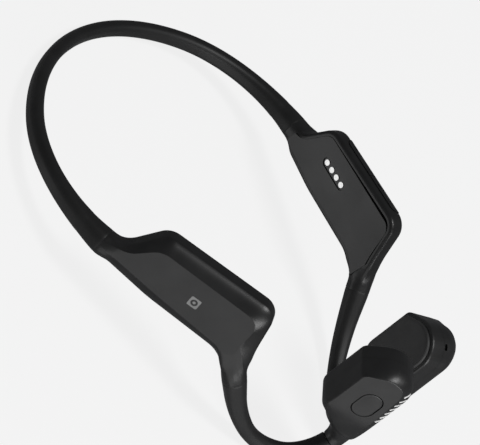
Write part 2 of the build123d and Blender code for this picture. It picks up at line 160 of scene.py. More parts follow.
hook_origin = (CASE @ np.array([*HOOK_START, 1.0]))[:3]
hook_z = unit(HOOK_NORMAL)
hook_x = unit(np.array(HOOK_FORWARD) - np.dot(HOOK_FORWARD, hook_z) * hook_z)
HOOK = matrix_of(hook_origin, hook_x, np.cross(hook_z, hook_x), hook_z)

pod_out = unit(POD_OUTWARD)
pod_along = unit(np.array(POD_ALONG) - np.dot(POD_ALONG, pod_out) * pod_out)
POD = matrix_of(POD_ORIGIN, pod_along, np.cross(pod_out, pod_along), pod_out)


def moved(matrix, points):
    points = np.asarray(points, float).reshape(-1, 3)
    return points @ matrix[:3, :3].T + matrix[:3, 3]


def inverse(matrix, points):
    return moved(np.linalg.inv(matrix), points)


# ---- mesh helpers, in a local frame in millimetres ----
def smoothstep(t):
    t = np.clip(t, 0.0, 1.0)
    return t * t * (3 - 2 * t)


MIN_RADIUS = 0.08            # an inset corner keeps at least this radius


def outline(corners, inset=0.0, counts=None, arc_steps=10):
    """Points round a closed outline of (x, y, radius) corners, moved inward by inset."""
    xy = np.array([c[:2] for c in corners], float)
    total = len(xy)
    following = np.roll(xy, -1, axis=0)
    area = sum(a[0] * b[1] - b[0] * a[1] for a, b in zip(xy, following))
    way = 1.0 if area > 0 else -1.0
    ahead = [unit(b - a) for a, b in zip(xy, following)]
    inward = [way * np.array([-d[1], d[0]]) for d in ahead]
    moved_corners, radii = [], []
    for i in range(total):
        before = i - 1
        a, b = ahead[before], ahead[i]
        cross = a[0] * b[1] - a[1] * b[0]
        p, q = xy[i] + inward[before] * inset, xy[i] + inward[i] * inset
        if abs(cross) < 1e-4:
            moved_corners.append(q)
        else:
            reach = ((q - p)[0] * b[1] - (q - p)[1] * b[0]) / cross
            moved_corners.append(p + a * reach)
        convex = cross * way > 0
        radii.append(max(corners[i][2] + (-inset if convex else inset), MIN_RADIUS))
    points = []
    for i in range(total):
        a, b = ahead[i - 1], ahead[i]
        turn = atan2(a[0] * b[1] - a[1] * b[0], float(a @ b))
        back = radii[i] * tan(abs(turn) / 2)
        side = np.array([-a[1], a[0]]) * (1 if turn > 0 else -1)
        start = moved_corners[i] - a * back
        centre = start + side * radii[i]
        for k in range(arc_steps + 1):
            angle = turn * k / arc_steps
            spoke = start - centre
            c, s = cos(angle), sin(angle)
            points.append(centre + np.array([spoke[0] * c - spoke[1] * s, spoke[0] * s + spoke[1] * c]))
        if counts:
            j = (i + 1) % total
            next_turn = atan2(b[0] * ahead[j][1] - b[1] * ahead[j][0], float(b @ ahead[j]))
            next_arc = moved_corners[j] - b * radii[j] * tan(abs(next_turn) / 2)
            last = points[-1]
            points += [last + (next_arc - last) * k / (counts[i] + 1) for k in range(1, counts[i] + 1)]
    return np.array(points)


def edge_counts(corners, spacing):
    """How many points go on each straight edge of an outline."""
    found = []
    for (ax, ay, _), (bx, by, _) in zip(corners, corners[1:] + corners[:1]):
        found.append(max(1, int(hypot(bx - ax, by - ay) / spacing)))
    return found


def per_point(values, counts, arc_steps=10):
    """A value for each outline point, from one value for each corner."""
    found = []
    for i, value in enumerate(values):
        after = values[(i + 1) % len(values)]
        found += [value] * (arc_steps + 1)
        found += [value + (after - value) * k / (counts[i] + 1) for k in range(1, counts[i] + 1)]
    return np.array(found)


def at_height(points, height):
    """Flat points with a height, or with one height for each point."""
    heights = np.broadcast_to(np.asarray(height, float), (len(points),))
    return np.column_stack([points, heights])


def new_mesh(name, points, faces):
    mesh = bpy.data.meshes.new(name)
    mesh.from_pydata([tuple(p) for p in points], [], faces)
    bm = bmesh.new()
    bm.from_mesh(mesh)
    bmesh.ops.remove_doubles(bm, verts=bm.verts, dist=1e-4)
    bmesh.ops.recalc_face_normals(bm, faces=bm.faces)
    bm.to_mesh(mesh)
    bm.free()
    return mesh


def lofted(name, rings, closed_ends=True):
    """A skin over rings that have the same number of points."""
    count = len(rings[0])
    faces = []
    for r in range(len(rings) - 1):
        for i in range(count):
            j = (i + 1) % count
            faces.append((r * count + i, r * count + j, (r + 1) * count + j, (r + 1) * count + i))
    if closed_ends:
        faces.append(tuple(reversed(range(count))))
        faces.append(tuple((len(rings) - 1) * count + i for i in range(count)))
    return new_mesh(name, np.vstack(rings), faces)


def scratch(mesh):
    """An object in the local frame, for modifiers. It is turned into a piece or thrown away."""
    found = bpy.data.objects.new("scratch", mesh)
    bpy.context.scene.collection.objects.link(found)
    return found


def applied(obj):
    """Makes the mesh with its modifiers the object's own mesh."""
    bpy.context.view_layer.update()
    graph = bpy.context.evaluated_depsgraph_get()
    mesh = bpy.data.meshes.new_from_object(obj.evaluated_get(graph))
    obj.modifiers.clear()
    obj.data = mesh
    return obj


def combined(obj, cutter_mesh, operation="DIFFERENCE"):
    """Cuts, joins or keeps the common part of the object and a cutter."""
    cutter = scratch(cutter_mesh)
    change = obj.modifiers.new("combine", "BOOLEAN")
    change.operation = operation
    change.solver = "EXACT"
    change.object = cutter
    applied(obj)
    bpy.data.objects.remove(cutter)
    return obj


def prism(face_points, low, high, matrix=None):
    """A cutter: a flat outline's prism, in another local frame if a matrix is given."""
    rings = [at_height(face_points, low), at_height(face_points, high)]
    if matrix is not None:
        rings = [moved(matrix, ring) for ring in rings]
    return lofted("prism", rings)


def finished(obj, name, place, left, material, replaces=(), body=HEADSET, sharp=28.0):
    """Puts a scratch object into the row frame as a named piece, with smooth shading and crisp edges."""
    whole = REST @ (MIRROR @ place if left else place)
    scale = np.diag([MM, MM, MM, 1.0])
    mesh = obj.data
    mesh.transform(Matrix((scale @ whole).tolist()))
    bm = bmesh.new()
    bm.from_mesh(mesh)
    bmesh.ops.remove_doubles(bm, verts=bm.verts, dist=2e-6)
    bmesh.ops.dissolve_degenerate(bm, edges=bm.edges, dist=1e-6)
    bmesh.ops.recalc_face_normals(bm, faces=bm.faces)
    for face in bm.faces:
        face.smooth = True
    for edge in bm.edges:
        edge.smooth = len(edge.link_faces) != 2 or edge.calc_face_angle(0.0) < radians(sharp)
    bm.to_mesh(mesh)
    bm.free()
    obj.name = name
    mesh.name = name
    mesh.materials.clear()
    mesh.materials.append(material)
    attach(obj, body)
    if replaces:
        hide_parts(*replaces)
    return obj


# ---- materials ----
def new_material(name, base, roughness, specular=0.5):
    material = bpy.data.materials.new(name)
    material.use_nodes = True
    tree = material.node_tree
    shader = tree.nodes["Principled BSDF"]
    shader.inputs["Base Color"].default_value = (*base, 1)
    shader.inputs["Roughness"].default_value = roughness
    shader.inputs["Specular IOR Level"].default_value = specular
    return material, tree, shader


def noise(tree, scale, detail=3.0):
    place = tree.nodes.get("place") or tree.nodes.new("ShaderNodeTexCoord")
    place.name = "place"
    texture = tree.nodes.new("ShaderNodeTexNoise")
    texture.inputs["Scale"].default_value = scale
    texture.inputs["Detail"].default_value = detail
    tree.links.new(place.outputs["Object"], texture.inputs["Vector"])
    return texture.outputs["Fac"]


def remap(tree, value, low, high):
    change = tree.nodes.new("ShaderNodeMapRange")
    change.inputs["From Min"].default_value = 0.3
    change.inputs["From Max"].default_value = 0.7
    change.inputs["To Min"].default_value = low
    change.inputs["To Max"].default_value = high
    tree.links.new(value, change.inputs["Value"])
    return change.outputs["Result"]


def two_colours(tree, factor, first, second):
    mix = tree.nodes.new("ShaderNodeMix")
    mix.data_type = "RGBA"
    mix.inputs["A"].default_value = (*first, 1)
    mix.inputs["B"].default_value = (*second, 1)
    tree.links.new(factor, mix.inputs["Factor"])
    return mix.outputs["Result"]


def moulded(name, base, roughness, grain=9000.0, grain_depth=0.00001, specular=0.5, wear=0.35, sheen=0.0):
    """Fine-grained moulded plastic or silicone: mottled colour and gloss, grain, and slightly worn edges."""
    material, tree, shader = new_material(name, base, roughness, specular)
    shader.inputs["Sheen Weight"].default_value = sheen
    shader.inputs["Sheen Roughness"].default_value = 0.4
    mottle = noise(tree, 160.0)
    lighter = tuple(c * 1.18 + 0.001 for c in base)
    darker = tuple(c * 0.86 for c in base)
    colour = two_colours(tree, remap(tree, mottle, 0.0, 1.0), darker, lighter)
    geometry = tree.nodes.new("ShaderNodeNewGeometry")
    edges = tree.nodes.new("ShaderNodeMapRange")
    edges.inputs["From Min"].default_value = 0.53
    edges.inputs["From Max"].default_value = 0.62
    edges.inputs["To Max"].default_value = wear
    tree.links.new(geometry.outputs["Pointiness"], edges.inputs["Value"])
    palest = tuple(c * 1.9 + 0.006 for c in base)
    worn = two_colours(tree, edges.outputs["Result"], base, palest)
    tree.links.new(colour, worn.node.inputs["A"])
    tree.links.new(worn, shader.inputs["Base Color"])
    handled = remap(tree, noise(tree, 60.0, 5.0), roughness - 0.05, roughness + 0.06)
    tree.links.new(handled, shader.inputs["Roughness"])
    bump = tree.nodes.new("ShaderNodeBump")
    bump.inputs["Strength"].default_value = 0.22
    bump.inputs["Distance"].default_value = grain_depth
    tree.links.new(noise(tree, grain, 2.0), bump.inputs["Height"])
    tree.links.new(bump.outputs["Normal"], shader.inputs["Normal"])
    return material


def metallic(name, base, roughness, brush=0.0, metal=1.0):
    """Plated or drawn metal with fine lines and uneven gloss."""
    material, tree, shader = new_material(name, base, roughness)
    shader.inputs["Metallic"].default_value = metal
    tone = remap(tree, noise(tree, 900.0, 4.0), 0.0, 1.0)
    duller = tuple(c * 0.9 for c in base)
    tree.links.new(two_colours(tree, tone, duller, base), shader.inputs["Base Color"])
    gloss = remap(tree, noise(tree, 2500.0, 2.0), roughness * 0.7, roughness * 1.4)
    tree.links.new(gloss, shader.inputs["Roughness"])
    bump = tree.nodes.new("ShaderNodeBump")
    bump.inputs["Strength"].default_value = 0.2 + brush
    bump.inputs["Distance"].default_value = 0.000004
    tree.links.new(noise(tree, 6000.0), bump.inputs["Height"])
    tree.links.new(bump.outputs["Normal"], shader.inputs["Normal"])
    return material


MATERIALS = {
    "case_plastic": moulded("case_plastic", (0.013, 0.013, 0.0132), 0.36),
    "pod_plastic": moulded("pod_plastic", (0.016, 0.016, 0.0162), 0.36),
    "key_plastic": moulded("key_plastic", (0.012, 0.012, 0.0122), 0.42),
    "port_plastic": moulded("port_plastic", (0.008, 0.008, 0.0085), 0.30, grain_depth=0.000004),
    "silicone_skin": moulded("silicone_skin", (0.011, 0.011, 0.0112), 0.5,
                             grain=6000.0, specular=0.4, sheen=0.05),
    "soft_pad_silicone": moulded("soft_pad_silicone", (0.03, 0.03, 0.0303), 0.5,
                                 specular=0.4, sheen=0.05),
    "mark_print": moulded("mark_print", (0.20, 0.20, 0.20), 0.5, grain_depth=0.000003, wear=0.0),
    "bar_print": moulded("bar_print", (0.72, 0.72, 0.71), 0.5, grain_depth=0.000003, wear=0.0),
    "contact_metal": metallic("contact_metal", (0.95, 0.95, 0.94), 0.25, metal=0.9),
    "spring_steel": metallic("spring_steel", (0.6, 0.6, 0.58), 0.3, 0.3),
    "lead_jacket": moulded("lead_jacket", (0.06, 0.06, 0.065), 0.5),
    "magnet_steel": metallic("magnet_steel", (0.55, 0.56, 0.58), 0.25),
    "copper": metallic("copper", (0.72, 0.42, 0.26), 0.35, 0.2),
    "circuit_board": moulded("circuit_board", (0.012, 0.09, 0.04), 0.4),
    "battery_foil": metallic("battery_foil", (0.7, 0.71, 0.73), 0.4, 0.4),
    "component_metal": metallic("component_metal", (0.66, 0.66, 0.64), 0.3),
}


def paint_cad_nodes():
    """Every CAD node takes the material of its slot in the record."""
    for row in frame["record"]["subparts"]:
        node = frame["nodes"][row["node"]]
        node.data.materials.clear()
        node.data.materials.append(MATERIALS[row["material_slot"]])


paint_cad_nodes()


# ---- silicone sleeves ----
def section(width, thickness):
    """A rounded rectangle, as points from the middle."""
    radius = SECTION_ROUND * min(width, thickness)
    points = []
    for quarter, (sx, sy) in enumerate([(1, 1), (-1, 1), (-1, -1), (1, -1)]):
        centre = np.array([sx * (width / 2 - radius), sy * (thickness / 2 - radius)])
        for k in range(9):
            angle = quarter * pi / 2 + k / 8 * pi / 2
            points.append(centre + radius * np.array([cos(angle), sin(angle)]))
    return np.array(points)


STATION_EASE = 0.04          # sizes are averaged over this share of the path to either side


def station_sizes(stations, fraction):
    """Width and thickness, eased between the stations but exact near both ends."""
    keys = [s[0] for s in stations]
    near = fraction
    if STATION_EASE <= fraction <= 1 - STATION_EASE:
        near = np.clip(np.linspace(fraction - STATION_EASE, fraction + STATION_EASE, 9), 0, 1)
    width, thickness = (float(np.mean(np.interp(near, keys, [s[k] for s in stations]))) for k in (1, 2))
    return width, thickness


SEAM_STEP = 0.07             # a sleeve's end and a case's end are rounded down to the seam by this
SEAM_REACH = 0.35            # over this length


def sleeve_rings(rows, stations):
    """Sections square to a flat path, whose rows are a point and a heading."""
    path = np.column_stack([rows[:, :2], np.zeros(len(rows))])
    lengths = np.concatenate([[0], np.cumsum(np.linalg.norm(np.diff(path, axis=0), axis=1))])
    rings = []
    first = np.array([0.0, 0, 1])
    for point, heading, s in zip(path, rows[:, 2], lengths):
        second = np.cross((cos(heading), sin(heading), 0.0), first)
        width, thickness = station_sizes(stations, s / lengths[-1])
        gap = min(s, lengths[-1] - s)
        shrink = SEAM_STEP * max(0.0, 1 - gap / SEAM_REACH)
        flat = section(width - 2 * shrink, thickness - 2 * shrink)
        rings.append(point + flat[:, :1] * first + flat[:, 1:] * second)
    return rings


def refined_ends(rows):
    """Adds rows just inside both ends, so that the seams' rounding has points to follow."""
    def between(a, b, t):
        return a + (b - a) * t
    start = [rows[0]] + [between(rows[0], rows[1], t) for t in (0.15, 0.3, 0.5)]
    end = [between(rows[-1], rows[-2], t) for t in (0.5, 0.3, 0.15)] + [rows[-1]]
    return np.array([*start, *rows[1:-1], *end])


def neckband_sleeve():
    half = BAND_HALF
    left = half[:0:-1] * np.array([-1, 1, -1])
    rows = refined_ends(np.vstack([left, half]))
    stations = [(0.5 - 0.5 * s, h, t) for s, h, t in reversed(BAND_STATIONS)]
    stations += [(0.5 + 0.5 * s, h, t) for s, h, t in BAND_STATIONS[1:]]
    mesh = lofted("neckband", sleeve_rings(rows, stations))
    finished(scratch(mesh), "neckband_skin", np.eye(4), False, MATERIALS["silicone_skin"],
             ["neckband_sleeve"], sharp=40)


def ear_hook_sleeves():
    rings = sleeve_rings(refined_ends(trace(HOOK_RUNS)), HOOK_STATIONS)
    for side in ("left", "right"):
        mesh = lofted("hook", rings)
        finished(scratch(mesh), side + "_ear_hook_skin", HOOK, side == "left", MATERIALS["silicone_skin"],
                 [side + "_ear_hook_sleeve"], sharp=40)


neckband_sleeve()
ear_hook_sleeves()

# ---- cases, in the case's own frame: along it, across it towards the raised edge, outward ----
# rim corner x, y, radius; outer panel corner x, y, radius; height at which the shoulder starts
CASE_SHAPE = [
    (-4.0, -3.5, 0.3, -4.0, 0.2, 0.3, 0.4),
    (18.0, -1.3, 50.0, 18.0, 2.7, 50.0, 0.6),
    (41.3, 3.3, 9.0, 37.6, 5.5, 5.0, 0.6),
    (52.1, -6.1, 0.3, 40.8, 5.3, 1.8, -0.75),
    (56.0, -1.7, 0.3, 42.6, 7.0, 1.8, -0.75),
    (47.6, 7.0, 34.0, 41.6, 10.5, 8.0, 0.4),
    (40.9, 22.8, 4.8, 39.7, 18.9, 3.8, 0.5),
    (8.2, 15.1, 5.0, 9.9, 12.5, 5.5, 0.5),
    (4.2, 3.8, 4.5, 5.6, 5.0, 6.0, 0.5),
    (-4.0, 3.3, 0.3, -4.0, 0.9, 0.3, 0.4),
]
CASE_RIM = 1.0
INNER_FACE_INSET = 0.3       # from the foot of the inner rim's rounding
PANEL_LIP = 0.15             # from the shoulder's end to the flat panel
SHOULDER_BOW = (0.17, 0.5)   # the shoulder's bend, as shares of its width and height
COVER_INSET = 1.45
COVER_REACH = (2.95, 45.55)
COVER_DEPTH = 1.15


def bowed(t, bow):
    """A quadratic curve from (0, 0) to (1, 1), pulled towards bow."""
    across = 2 * t * (1 - t) * bow[0] + t * t
    up = 2 * t * (1 - t) * bow[1] + t * t
    return across, up


def case_rings(grow=0.0):
    """The case from its inner face up to its outer panel, grown by a skin's thickness if asked."""
    rim = [c[:3] for c in CASE_SHAPE]
    panel = [c[3:6] for c in CASE_SHAPE]
    counts = edge_counts(rim, 1.0)
    base = per_point([c[6] for c in CASE_SHAPE], counts)
    bottom, top = -CASE_HALF - grow, CASE_HALF + grow
    rings = [at_height(outline(rim, CASE_RIM + INNER_FACE_INSET - grow, counts), bottom)]
    for k in range(7):
        angle = k / 6 * pi / 2
        inset = CASE_RIM * (1 - sin(angle)) - grow
        rings.append(at_height(outline(rim, inset, counts), bottom + CASE_RIM * (1 - cos(angle))))
    edge = outline(rim, -grow, counts)
    wall_foot = bottom + CASE_RIM
    for k in range(1, 4):
        rings.append(at_height(edge, wall_foot + (base - wall_foot) * k / 4))
    inner = outline(panel, -grow * 0.5, counts)
    steps = 16
    for k in range(steps + 1):
        across, up = bowed(k / steps, SHOULDER_BOW)
        rings.append(at_height(edge + (inner - edge) * across, base + (top - base) * up))
    rings.append(at_height(outline(panel, PANEL_LIP - grow * 0.5, counts), top))
    return rings


BAND_HOLD, BAND_EASE = 0.0, 6.0   # how far into the case the sleeve's section is held, and eased away
HOOK_HOLD, HOOK_EASE = 1.5, 7.5
SLICE_STEP = 0.8             # between the cuts across the case near a seam
GRID_STEP, GRID_SIDE = 0.7, 4     # between the cuts along it, and how many to either side
EASE_MIN_RADIUS = 1.5        # points nearer than this to the seam's axis stay


def seam_frames():
    """Both ends of the case: a point, the way in, the section's first axis and size, hold and ease."""
    turn = CASE[:3, :3].T
    up = turn @ np.array([0.0, 0, 1])
    band = (np.zeros(3), turn @ BAND_HEADING, up, BAND_STATIONS[-1], BAND_HOLD, BAND_EASE)
    hook = (np.array(HOOK_START), -(turn @ hook_x), turn @ hook_z, HOOK_STATIONS[0], HOOK_HOLD, HOOK_EASE)
    return band, hook


def whole(bm):
    return [*bm.verts, *bm.edges, *bm.faces]


def ray_to_section(direction, size):
    """How far a rounded rectangle's edge is from its middle along each direction."""
    _, width, thickness = size
    radius = SECTION_ROUND * min(width, thickness)
    half = np.array([width / 2 - radius, thickness / 2 - radius])
    reach = np.full(len(direction), 0.1)
    high = np.full(len(direction), 10.0)
    for _ in range(24):
        middle = (reach + high) / 2
        past = np.maximum(np.abs(direction * middle[:, None]) - half, 0)
        outside = np.linalg.norm(past, axis=1) > radius
        high = np.where(outside, middle, high)
        reach = np.where(outside, reach, middle)
    return reach


def cut_end(bm, origin, inward):
    """Cuts a mesh off at a plane and closes it."""
    cut = bmesh.ops.bisect_plane(bm, geom=whole(bm), dist=1e-5,
                                 plane_co=origin, plane_no=inward, clear_inner=True)
    rim = [e for e in cut["geom_cut"] if isinstance(e, bmesh.types.BMEdge)]
    bmesh.ops.edgenet_fill(bm, edges=rim)


def eased_ends(mesh):
    """Cuts the case square at both seams, and eases each end into the section of the sleeve that meets it."""
    bm = bmesh.new()
    bm.from_mesh(mesh)
    for origin, inward, first, size, hold, length in seam_frames():
        second = np.cross(inward, first)
        for k in range(1, int(length / SLICE_STEP)):
            bmesh.ops.bisect_plane(bm, geom=whole(bm), dist=1e-5,
                                   plane_co=origin + inward * SLICE_STEP * k, plane_no=inward)
        for k in range(-GRID_SIDE, GRID_SIDE + 1):
            for axis in (first, second):
                faces = [f for f in bm.faces
                         if (np.array(f.calc_center_median()) - origin) @ inward < length]
                edges = {e for f in faces for e in f.edges}
                verts = {v for f in faces for v in f.verts}
                bmesh.ops.bisect_plane(bm, geom=[*verts, *edges, *faces], dist=1e-5,
                                       plane_co=origin + axis * GRID_STEP * k, plane_no=axis)
        cut_end(bm, origin, inward)
        points = np.array([v.co for v in bm.verts])
        depth = (points - origin) @ inward
        flat = np.column_stack([(points - origin) @ first, (points - origin) @ second])
        size_now = np.linalg.norm(flat, axis=1)
        direction = flat / np.maximum(size_now, 1e-6)[:, None]
        goal = ray_to_section(direction, size)
        share = 1 - smoothstep((depth - hold) / (length - hold))
        share = np.where(size_now < EASE_MIN_RADIUS, 0.0, share)
        for vert, d, s, g, old, k in zip(bm.verts, depth, share, goal, size_now, direction):
            if s <= 0:
                continue
            groove = SEAM_STEP * max(0.0, 1 - d / SEAM_REACH)
            reach = old + (g - groove - old) * s
            vert.co = Vector(origin + inward * d + (first * k[0] + second * k[1]) * reach)
    bmesh.ops.recalc_face_normals(bm, faces=bm.faces)
    bm.to_mesh(mesh)
    bm.free()
    return mesh


def block(low, high):
    """A box-shaped cutter between two corners."""
    corners = [(low[0], low[1]), (high[0], low[1]), (high[0], high[1]), (low[0], high[1])]
    return prism(np.array(corners, float), low[2], high[2])


def clipped(points, axis, limit, keep_above):
    """A flat outline cut by a line across one axis."""
    found = []
    for a, b in zip(points, np.roll(points, -1, axis=0)):
        inside_a = (a[axis] >= limit) == keep_above
        inside_b = (b[axis] >= limit) == keep_above
        if inside_a:
            found.append(a)
        if inside_a != inside_b:
            found.append(a + (b - a) * (limit - a[axis]) / (b[axis] - a[axis]))
    return np.array(found)


def cover_pocket():
    rim = [c[:3] for c in CASE_SHAPE]
    face = outline(rim, COVER_INSET, edge_counts(rim, 3.0))
    face = clipped(face, 0, COVER_REACH[0], True)
    face = clipped(face, 0, COVER_REACH[1], False)
    return prism(face, -CASE_HALF - 1, -CASE_HALF + COVER_DEPTH)


# ---- the two keys on the right case's raised edge ----
HUMP, CORNER = CASE_SHAPE[7], CASE_SHAPE[6]
EDGE_ANGLE = atan2(CORNER[1] - HUMP[1], CORNER[0] - HUMP[0])
STRIP_START, KEY_LENGTH, KEY_WIDTH, STRIP_OFFSET = 4.0, 12.6, 4.0, 1.0
KEY_GAP, KEY_PROUD, KEY_DEPTH = 0.13, 0.2, 1.6
KEY_TRAVEL_ROOM = 0.5
MARK_FLOOR, MARK_LINE = -0.08, 0.34
CLEAR = 5                    # a cutter's far end, well outside the case


def edge_frame():
    """The key strip's frame: along the raised edge, across it, and out of it."""
    along = np.array([cos(EDGE_ANGLE), sin(EDGE_ANGLE), 0])
    out = np.array([-sin(EDGE_ANGLE), cos(EDGE_ANGLE), 0])
    middle = np.array([HUMP[0], HUMP[1], STRIP_OFFSET]) + along * (STRIP_START + KEY_LENGTH)
    return matrix_of(middle, along, np.cross(out, along), out)


def key_outline(which, grow=0.0):
    """One key's outline: square where the keys meet, and round at the strip's end."""
    near, far, half = 0.12 - grow, KEY_LENGTH + grow, KEY_WIDTH / 2 + grow
    corners = [(near, -half, 0.25), (far, -half, half - 0.05), (far, half, half - 0.05), (near, half, 0.25)]
    points = outline(corners, 0.0, None, 8)
    return points * np.array([which, 1.0])


def bar(start, end, width):
    """A round-ended bar's outline between two points."""
    start, end = np.array(start, float), np.array(end, float)
    d = unit(end - start)
    side = np.array([-d[1], d[0]])
    points = []
    for centre, turn in ((end, -pi / 2), (start, pi / 2)):
        for k in range(7):
            a = turn + k / 6 * pi
            points.append(centre + (cos(a) * d + sin(a) * side) * width / 2)
    return np.array(points)


def ring_arc(centre, radius, start, end, width, steps=20):
    """A round-ended arc's outline, as a band of two arcs."""
    angles = np.radians(np.linspace(start, end, steps))
    outer = [np.array(centre) + (radius + width / 2) * np.array([cos(a), sin(a)]) for a in angles]
    inner = [np.array(centre) + (radius - width / 2) * np.array([cos(a), sin(a)]) for a in angles[::-1]]
    return np.array(outer + inner)


def key_marks(which):
    """Shallow marks: a chevron on the rear key, and an arc and a dash on the front one."""
    if which < 0:
        x, y, reach, rise, half = -KEY_LENGTH + 5.0, -0.1, 1.9, 1.0, MARK_LINE / 2
        chevron = [
            (x + half, y),
            (x - reach, y + rise + half),
            (x - reach - half, y + rise - half),
            (x - 2 * half, y),
            (x - reach - half, y - rise + half),
            (x - reach, y - rise - half),
        ]
        return [np.array(chevron)]
    return [ring_arc((3.4, 0.0), 1.25, -125, 125, MARK_LINE),
            bar((7.6, -0.1), (10.6, -0.1), MARK_LINE)]


def softened(obj, weights, rounds):
    """Relaxes part of a mesh, by a weight for each point."""
    group = obj.vertex_groups.new(name="soft")
    for i, w in enumerate(weights):
        if w > 0.01:
            group.add([i], float(w), "REPLACE")
    ease = obj.modifiers.new("soft", "SMOOTH")
    ease.factor = 0.5
    ease.iterations = rounds
    ease.vertex_group = "soft"
    applied(obj)
    obj.vertex_groups.clear()
    return obj


DIP_ROUNDS = 12


def dip_weights(points):
    """High on the outer side of the dip behind the hump, where the shoulder's lines crowd together."""
    along = smoothstep((points[:, 0] - 0.8) / 2) * (1 - smoothstep((points[:, 0] - 7.5) / 3))
    below_panel = smoothstep((CASE_HALF - 0.02 - points[:, 2]) / 0.5)
    return along * below_panel * smoothstep((points[:, 1] - 1.0) / 2) * smoothstep((points[:, 2] + 0.5) / 1.5)


def case_shells():
    for side in ("left", "right"):
        shell = scratch(eased_ends(lofted("case", case_rings())))
        softened(shell, dip_weights(np.array([v.co for v in shell.data.vertices])), DIP_ROUNDS)
        combined(shell, cover_pocket())
        if side == "right":
            for which in (-1, 1):
                pocket = prism(key_outline(which, KEY_GAP), -KEY_DEPTH - KEY_TRAVEL_ROOM, CLEAR, edge_frame())
                combined(shell, pocket)
        finished(shell, side + "_case_body", CASE, side == "left", MATERIALS["case_plastic"],
                 [side + "_case_shell"])


def side_keys():
    for which, name in ((-1, "volume_up"), (1, "volume_down")):
        key = scratch(lofted("key", case_rings(KEY_PROUD)))
        combined(key, prism(key_outline(which), -KEY_DEPTH, CLEAR, edge_frame()), "INTERSECT")
        for mark in key_marks(which):
            combined(key, prism(mark, MARK_FLOOR, CLEAR, edge_frame()))
        finished(key, name + "_button_cap", CASE, False, MATERIALS["key_plastic"],
                 [name + "_button"], body=name + "_key")


case_shells()
side_keys()

# ---- pods, in the pod's own frame: towards the tip, towards the front, outward ----
POD_REAR, POD_FRONT, POD_TIP = -4.3, 12.1, 16.0
POD_SHAPE = [                # wall corner x, y, radius; outer panel corner x, y, radius
    (-5.5, POD_REAR, 4.5, -2.6, POD_REAR + 0.4, 0.8),
    (11.2, POD_REAR, 1.8, 11.6, POD_REAR + 0.4, 1.4),
    (POD_TIP + 0.2, 2.2, 8.0, 14.7, 2.5, 6.0),
    (POD_TIP, POD_FRONT, 7.0, 14.0, 8.2, 4.0),
    (-13.5, POD_FRONT, 2.0, -9.8, 9.8, 1.2),
    (-11.0, 5.0, 2.0, -8.6, 6.2, 1.2),
]
SLOPE_START = (-2.5, 2.0, 0.0)    # where the outer face starts to fall towards the neck
SLOPE_NORMAL = (-0.33, 0.0, 0.944)
SLOPE_SOFTNESS = 0.9
NECK_FREE = -16.0            # behind this the neck keeps its own shape
POD_BASE = -11.2
POD_SHOULDER = -4.4
POD_SPLIT = -6.6             # the seam between the outer shell and the inner part
BASE_REAR, BASE_GAP, SPLIT_GAP = -6.9, 0.1, 0.12
FAR = 30                     # a cutter's end, well outside the pod
POD_RIM = 0.7
POD_BOW = (0.03, 0.6)
VOXEL = 0.2
NECK_END, NECK_END_AHEAD = np.array([-6.5, 5.6, -6.2]), np.array([1.0, -0.2, 0.15])
NECK_END_SIZE = (9.0, 11.5)
ALL_ROUNDS, JOIN_ROUNDS = 2, 70


def pod_rings(grow=0.0):
    """The pod from its inner face up to its outer panel, grown by a skin's thickness if asked."""
    wall = [c[:3] for c in POD_SHAPE]
    panel = [c[3:6] for c in POD_SHAPE]
    counts = edge_counts(wall, 1.0)
    rings = []
    for k in range(6):
        angle = k / 5 * pi / 2
        points = outline(wall, POD_RIM * (1 - sin(angle)), counts)
        rings.append(at_height(points, POD_BASE + POD_RIM * (1 - cos(angle))))
    edge, inner = outline(wall, -grow, counts), outline(panel, -grow, counts)
    for k in range(13):
        across, up = bowed(k / 12, POD_BOW)
        rings.append(at_height(edge + (inner - edge) * across, POD_SHOULDER * (1 - up) + grow * up))
    return rings


def neck_mesh():
    """A tube from the end of the ear hook into the pod, swelling as it goes."""
    rows = trace(HOOK_RUNS)
    x, y, heading = rows[-1]
    start = inverse(POD, moved(HOOK, [(x, y, 0)]))[0]
    turn = POD[:3, :3].T @ HOOK[:3, :3]
    ahead = turn @ np.array([cos(heading), sin(heading), 0])
    first = turn @ np.array([0.0, 0, 1])
    size = np.linalg.norm(NECK_END - start)
    _, width, thickness = HOOK_STATIONS[-1]
    rings = []
    for k in range(17):
        t = k / 16
        h = [2 * t**3 - 3 * t**2 + 1, t**3 - 2 * t**2 + t, -2 * t**3 + 3 * t**2, t**3 - t**2]
        point = h[0] * start + h[1] * size * ahead + h[2] * NECK_END + h[3] * size * NECK_END_AHEAD
        now = unit(ahead * (1 - t) + NECK_END_AHEAD * t)
        up = unit(first * (1 - t) + np.array([0, 0, 1.0]) * t)
        up = unit(up - now * (up @ now))
        swell = smoothstep(t)
        flat = section(width + (NECK_END_SIZE[0] - width) * swell,
                       thickness + (NECK_END_SIZE[1] - thickness) * swell)
        rings.append(point + flat[:, :1] * up + flat[:, 1:] * np.cross(now, up))
    return lofted("neck", rings), start, ahead


def fallen(points):
    """Heights of points, those above the slope lowered to it, with a soft bend where it starts."""
    away = points - np.array(SLOPE_START)
    over = away @ np.array(SLOPE_NORMAL) / SLOPE_NORMAL[2]
    drop = 0.5 * (over + np.sqrt(over**2 + SLOPE_SOFTNESS**2)) * smoothstep(1 + over / 8)
    return points[:, 2] - drop * smoothstep((points[:, 0] - NECK_FREE) / 6)


